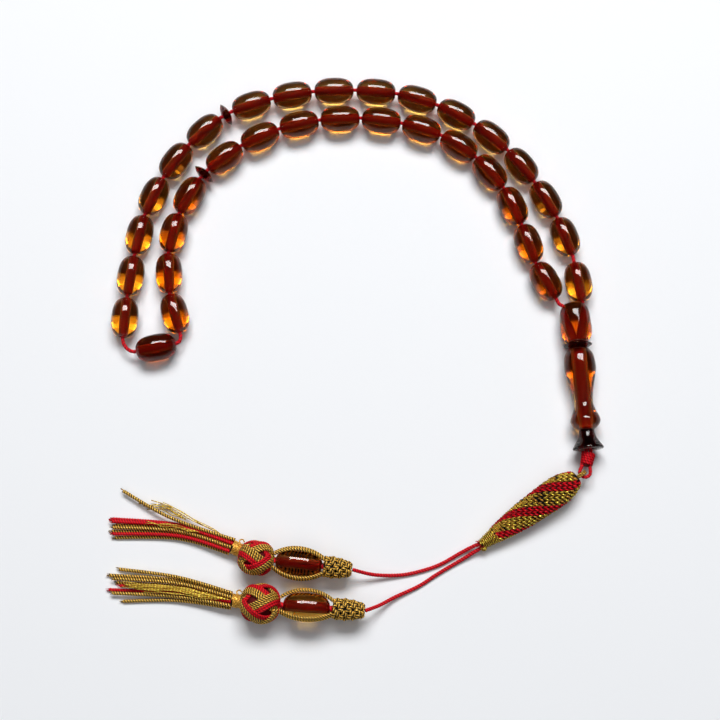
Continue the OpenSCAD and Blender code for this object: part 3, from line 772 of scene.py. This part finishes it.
for key, p in pendants.items():
    body = f"pendant_{key}"
    way = heading(p["way"])
    across = np.cross(UP, way)
    tip = np.array([*p["tip"], p["z"]])

    # woven cap: two families of twisted cords crossing over and under
    cap = Piece()
    cap_rows = profile([[0, 1.6], [1.2, 2.2], [3.6, 2.75], [6.2, 3.0], [p["cap"], 2.75]], 5)
    cap_end = p["cap"] - 0.1
    inside = [(min(max(x, 0.3), cap_end), r - 0.75) for x, r in cap_rows]
    cap.add(lathe([(0.3, 0.03), *inside, (cap_end, 0.03)], tip, way, sides=32), 1)
    for family in (-1, 1):
        for j in range(CAP_CORDS):
            points = []
            for s in np.linspace(0.35, p["cap"] - 0.3, 60):
                a = math.radians(360 / CAP_CORDS * j + family * s * CAP_TWIST)
                weave = math.sin(math.radians(CAP_CORDS * family * (s * CAP_TWIST) + 90 * family))
                r = float(np.interp(s, *zip(*cap_rows))) - CAP_CORD_RADIUS + CAP_WEAVE * weave
                points.append(tip + s * way + r * (math.cos(a) * UP + math.sin(a) * across))
            cap.add(tube(even(points, 0.16), CAP_CORD_RADIUS, **LAY, sides=12, start=rng.uniform(0, 30)))
    cap.make(f"pendant_{key}_woven_cap", [gold_cord, dark_core], body, "gold_thread", f"pendant_cap_{key}")

    # bead and the cord through it
    bead = Piece()
    mid = tip + (p["cap"] + p["cage"] / 2) * way
    bead.add(lathe(bead_outline(HANGING_LEN, HANGING_DIA, HANGING_BORE, TRIM), ORIGIN, ALONG, sides=72))
    name = f"pendant_bead_{key}"
    # the pendant bead takes the palest resin to make up for the cage's shadow on it: painted light
    ob = bead.make(f"pendant_{key}_amber", [amber_looks[0]], name, "amber", name,
                   place=placed(Vector(mid * MM), way))
    mark_bore(ob.data, ORIGIN, ALONG, HANGING_BORE)
    core = Piece()
    core_path = even([tip + p["cap"] * way, tip + (p["cap"] + p["cage"]) * way], 0.24)
    core.add(tube(core_path, INNER_CORD_RADIUS, **CORE_LAY, sides=14))
    core.make(f"pendant_{key}_inner_cord", [red_cord], body, "red_thread", f"pendant_core_{key}")

    # cage: three pairs of cords bowed round the bead
    cage = Piece()
    span, sag = p["cage"] / 2, CAGE_BULGE - CAGE_END
    radius = (span * span + sag * sag) / (2 * sag)
    for turn in (0, 120, 240):
        a = math.radians(turn + p["turn"])
        out = -math.cos(a) * UP + math.sin(a) * across
        beside = math.sin(a) * UP + math.cos(a) * across
        for side in (-1, 1):
            points = []
            for s in np.linspace(-span, span, 60):
                r = CAGE_BULGE - radius + math.sqrt(radius ** 2 - s * s)
                points.append(mid + s * way + r * out + side * CAGE_APART * beside)
            cage.add(tube(even(points, 0.15), CAGE_CORD_RADIUS, **LAY, sides=14, start=rng.uniform(0, 30)))
    cage.make(f"pendant_{key}_cage", [gold_cord], body, "gold_thread", f"bead_cage_{key}")

    # Turk's-head knot: five cords side by side follow one line that crosses over and under itself
    knot = Piece()
    middle = tip + (p["cap"] + p["cage"] + p["knot"] / 2) * way
    ry, rz = p["knot_dia"] / 2 - 0.85, p["knot"] / 2 - 0.65
    ball = [(rz * 0.9 * math.cos(a), max(ry * 0.86 * math.sin(a), 0.02)) for a in np.linspace(np.pi, 0, 17)]
    knot.add(lathe(ball, middle, way, sides=32), 2)
    line = []
    for q in np.linspace(0, 2 * np.pi * LEADS, 420):
        tau = BIGHTS * q / LEADS
        lat, lift = KNOT_REACH * math.cos(tau), KNOT_LIFT * math.sin(2 * tau)
        a = q + p["start"]
        out = math.cos(a) * UP + math.sin(a) * across
        surface = math.sin(lat) * rz * KNOT_STRETCH * way + math.cos(lat) * ry * out
        normal = unit(math.sin(lat) / rz * way + math.cos(lat) / ry * out)
        line.append((middle + surface, normal, lift))
    tangent = np.gradient(np.array([x[0] for x in line]), axis=0)
    for j in range(LINES):
        points = []
        for (c, normal, lift), tg in zip(line, tangent):
            q = c + unit(np.cross(normal, tg)) * ((j - (LINES - 1) / 2) * LINE_APART)
            rel = q - middle
            along, rest = float(rel @ way), rel - (rel @ way) * way
            scale = math.sqrt((along / rz / KNOT_STRETCH) ** 2 + (np.linalg.norm(rest) / ry) ** 2)
            points.append(middle + rel / max(scale, 1e-6) + normal * lift)
        knot.add(tube(even(points, 0.17), LINE_RADIUS, **LAY, sides=12, start=j * 7.0), p["colours"][j])
    knot.make(f"pendant_{key}_knot", [gold_cord, red_cord, red_core], body, "knot_thread",
              f"pendant_knot_{key}")

    # neck binding, with its loose tail
    neck_way = heading(p["neck"])
    neck_across = np.cross(UP, neck_way)
    neck = middle + (p["knot"] / 2 - 0.4) * neck_way
    neck[2] = p["z"] - 2.6
    bind = Piece()
    wrap(bind, neck, neck_way, UP, neck_across, NECK_LEN, *NECK_RADII, NECK_TURNS, 0.27, 0.06)
    bind.add(lathe([(0, 0.03), (0, 1.6), (NECK_LEN, 1.6), (NECK_LEN, 0.03)], neck, neck_way, sides=32), 1)
    tail = [neck + along * neck_way - aside * neck_across - down * UP
            for along, aside, down in ((1.6, 1.8, 0.0), (1.9, 2.6, 0.4), (1.2, 3.1, 1.0), (0.6, 2.6, 1.2))]
    bind.add(tube(through(tail, 0.2), 0.2, **TAIL_LAY, sides=8))
    bind.make(f"tassel_{key}_binding", [gold_wrap, dark_core], body, "gold_thread", f"tassel_whipping_{key}")

    # fringe: each strand ends in a few loose filaments
    side_way = heading(p["neck"] - 90)
    base = neck + NECK_LEN * neck_way
    for j, ((sx, sz), ends) in enumerate(zip(PACKING, strands[key])):
        start = base + sx * STRAND_DIA * side_way
        start[2] = neck[2] + sz * STRAND_DIA
        path = through([start, *ends], 0.17)
        red = p["fringe"][j] == "R"
        strand = Piece()
        strand.add(tube(path, 0.52, **LAY, sides=13, start=j * 5.0))
        tip_way = unit(path[-1] - path[-4])
        for filament in range(7):
            a = rng.uniform(0, 6.28)
            off = np.array([0, math.cos(a), math.sin(a) * 0.5]) * rng.uniform(0.1, 0.4)
            end = path[-1] + tip_way * rng.uniform(0.3, 1.1) + off * 1.6
            end[2] = max(end[2], 0.12)
            hair = through([path[-1] - tip_way * 0.4 + off * 0.5, path[-1] + off, end], 0.2)
            strand.add(tube(hair, 0.07, sides=5))
        ob = strand.make(f"tassel_{key}_strand_{j + 1}", [red_cord if red else gold_cord], body,
                         "red_thread" if red else "gold_thread", f"tassel_strands_{key}")

# frayed threads lying on the fringes: bundles of a route, a number of threads and how far they spread
FRAYED = {
    "a": [([(-35.5, -57.2, 2.2), (-40.3, -53.3, 2.2), (-52.3, -46.8, 1.4), (-61.4, -43.4, 0.7)], 3, 0.45),
          ([(-48, -50.6, 2.4), (-54, -47.6, 1.6), (-62, -46.6, 0.6)], 4, 0.8),
          ([(-44, -54.2, 3.2), (-52, -52.6, 2.9), (-60, -51.6, 2.4)], 4, 0.6)],
    "b": [([(-35, -73, 4.3), (-45, -71.3, 3.5), (-55.5, -69.9, 2.9), (-67, -69, 2.2)], 20, 1.0)],
}
for key, bundles in FRAYED.items():
    fray = Piece()
    for route, count, spread in bundles:
        for filament in range(count):
            shift = np.array([rng.uniform(-1, 1), rng.uniform(-1, 1), rng.uniform(-0.3, 0.3)]) * spread
            path = through(route, 0.3)
            along = np.linspace(0, 1, len(path))
            wave, phase = rng.uniform(9, 16), rng.uniform(0, 6.28)
            path = path + np.minimum(along * 3, 1)[:, None] * shift
            path[:, 1] += 0.28 * np.sin(along * wave + phase) * np.minimum(along * 4, 1)
            path[:, 2] = np.maximum(path[:, 2] + 0.2 * np.cos(along * wave * 1.3 + phase), 0.2)
            path = path[: int(len(path) * rng.uniform(0.75, 1.0))]
            fray.add(tube(path, rng.uniform(0.12, 0.2), **FRAY_LAY, sides=7, start=rng.uniform(0, 20)))
    fray.make(f"tassel_{key}_frayed_gold", [bright_gold], f"pendant_{key}", "gold_thread",
              f"tassel_strands_{key}")

# ---------------------------------------------------------------- floor, light
# the camera sees a paler floor than the resin does, as on the photograph's near-white background
FLOOR, FLOOR_PAINTED_SHADE, FLOOR_HALF = (0.86, 0.875, 0.90), (0.66, 0.66, 0.66), 3
edge = [(-FLOOR_HALF, -FLOOR_HALF, 0), (FLOOR_HALF, -FLOOR_HALF, 0), (FLOOR_HALF, FLOOR_HALF, 0),
        (-FLOOR_HALF, FLOOR_HALF, 0)]
floor_mesh = bpy.data.meshes.new("floor")
floor_mesh.from_pydata(edge, [], [(0, 1, 2, 3)])
floor = bpy.data.objects.new("floor", floor_mesh)
bpy.context.scene.collection.objects.link(floor)
m, tree, out = new_material("pale_floor")
p = node(tree, "ShaderNodeBsdfPrincipled", Roughness=0.6)
path = tree.nodes.new("ShaderNodeLightPath")
# rays through the resin and bounced light meet the darker floor colour: painted shade, which darkens the
# beads
tree.links.new(mix_colour(tree, path.outputs["Is Camera Ray"], FLOOR_PAINTED_SHADE, FLOOR), p.inputs["Base Color"])
tree.links.new(p.outputs[0], out.inputs[0])
floor_mesh.materials.append(m)


def area(name, size_x, size_y, at, target, power):
    data = bpy.data.lights.new(name, "AREA")
    data.shape = "RECTANGLE"
    data.size, data.size_y = size_x, size_y
    data.energy = power
    lamp = bpy.data.objects.new(name, data)
    bpy.context.scene.collection.objects.link(lamp)
    lamp.location = at
    lamp.rotation_euler = (Vector(target) - Vector(at)).to_track_quat("-Z", "Y").to_euler()
    return lamp


# a far, high softbox behind the beads: they are dark above and glow below
area("softbox", 1.1, 0.55, (0.06, 0.83, 1.37), (0, 0, 0), 26)
# fills the shadows, and is not seen through the resin or mirrored in it
fill = area("overhead_fill", 1.6, 1.6, (0, -0.3, 1.3), (0, -0.06, 0), 6.0)
fill.visible_transmission = fill.visible_glossy = False
SKY = [(0.0, (0.01, 0.01, 0.011)), (0.5, (0.014, 0.014, 0.015)), (1.0, (0.03, 0.031, 0.033))]
world = bpy.data.worlds.new("studio")
world.use_nodes = True
sky = world.node_tree
coords = sky.nodes.new("ShaderNodeTexCoord")
split = sky.nodes.new("ShaderNodeSeparateXYZ")
sky.links.new(coords.outputs["Generated"], split.inputs[0])
sky.links.new(ramp(sky, split.outputs[2], SKY), sky.nodes["Background"].inputs[0])
sky.nodes["Background"].inputs[1].default_value = 1.0
scene = bpy.context.scene
scene.world = world
scene.view_settings.view_transform = "Standard"
scene.view_settings.gamma = 0.92
scene.cycles.max_bounces = 16
scene.cycles.transmission_bounces = 14
scene.cycles.glossy_bounces = 6
scene.cycles.diffuse_bounces = 4
scene.cycles.transparent_max_bounces = 16
scene.cycles.sample_clamp_indirect = 12
scene.cycles.blur_glossy = 0.05
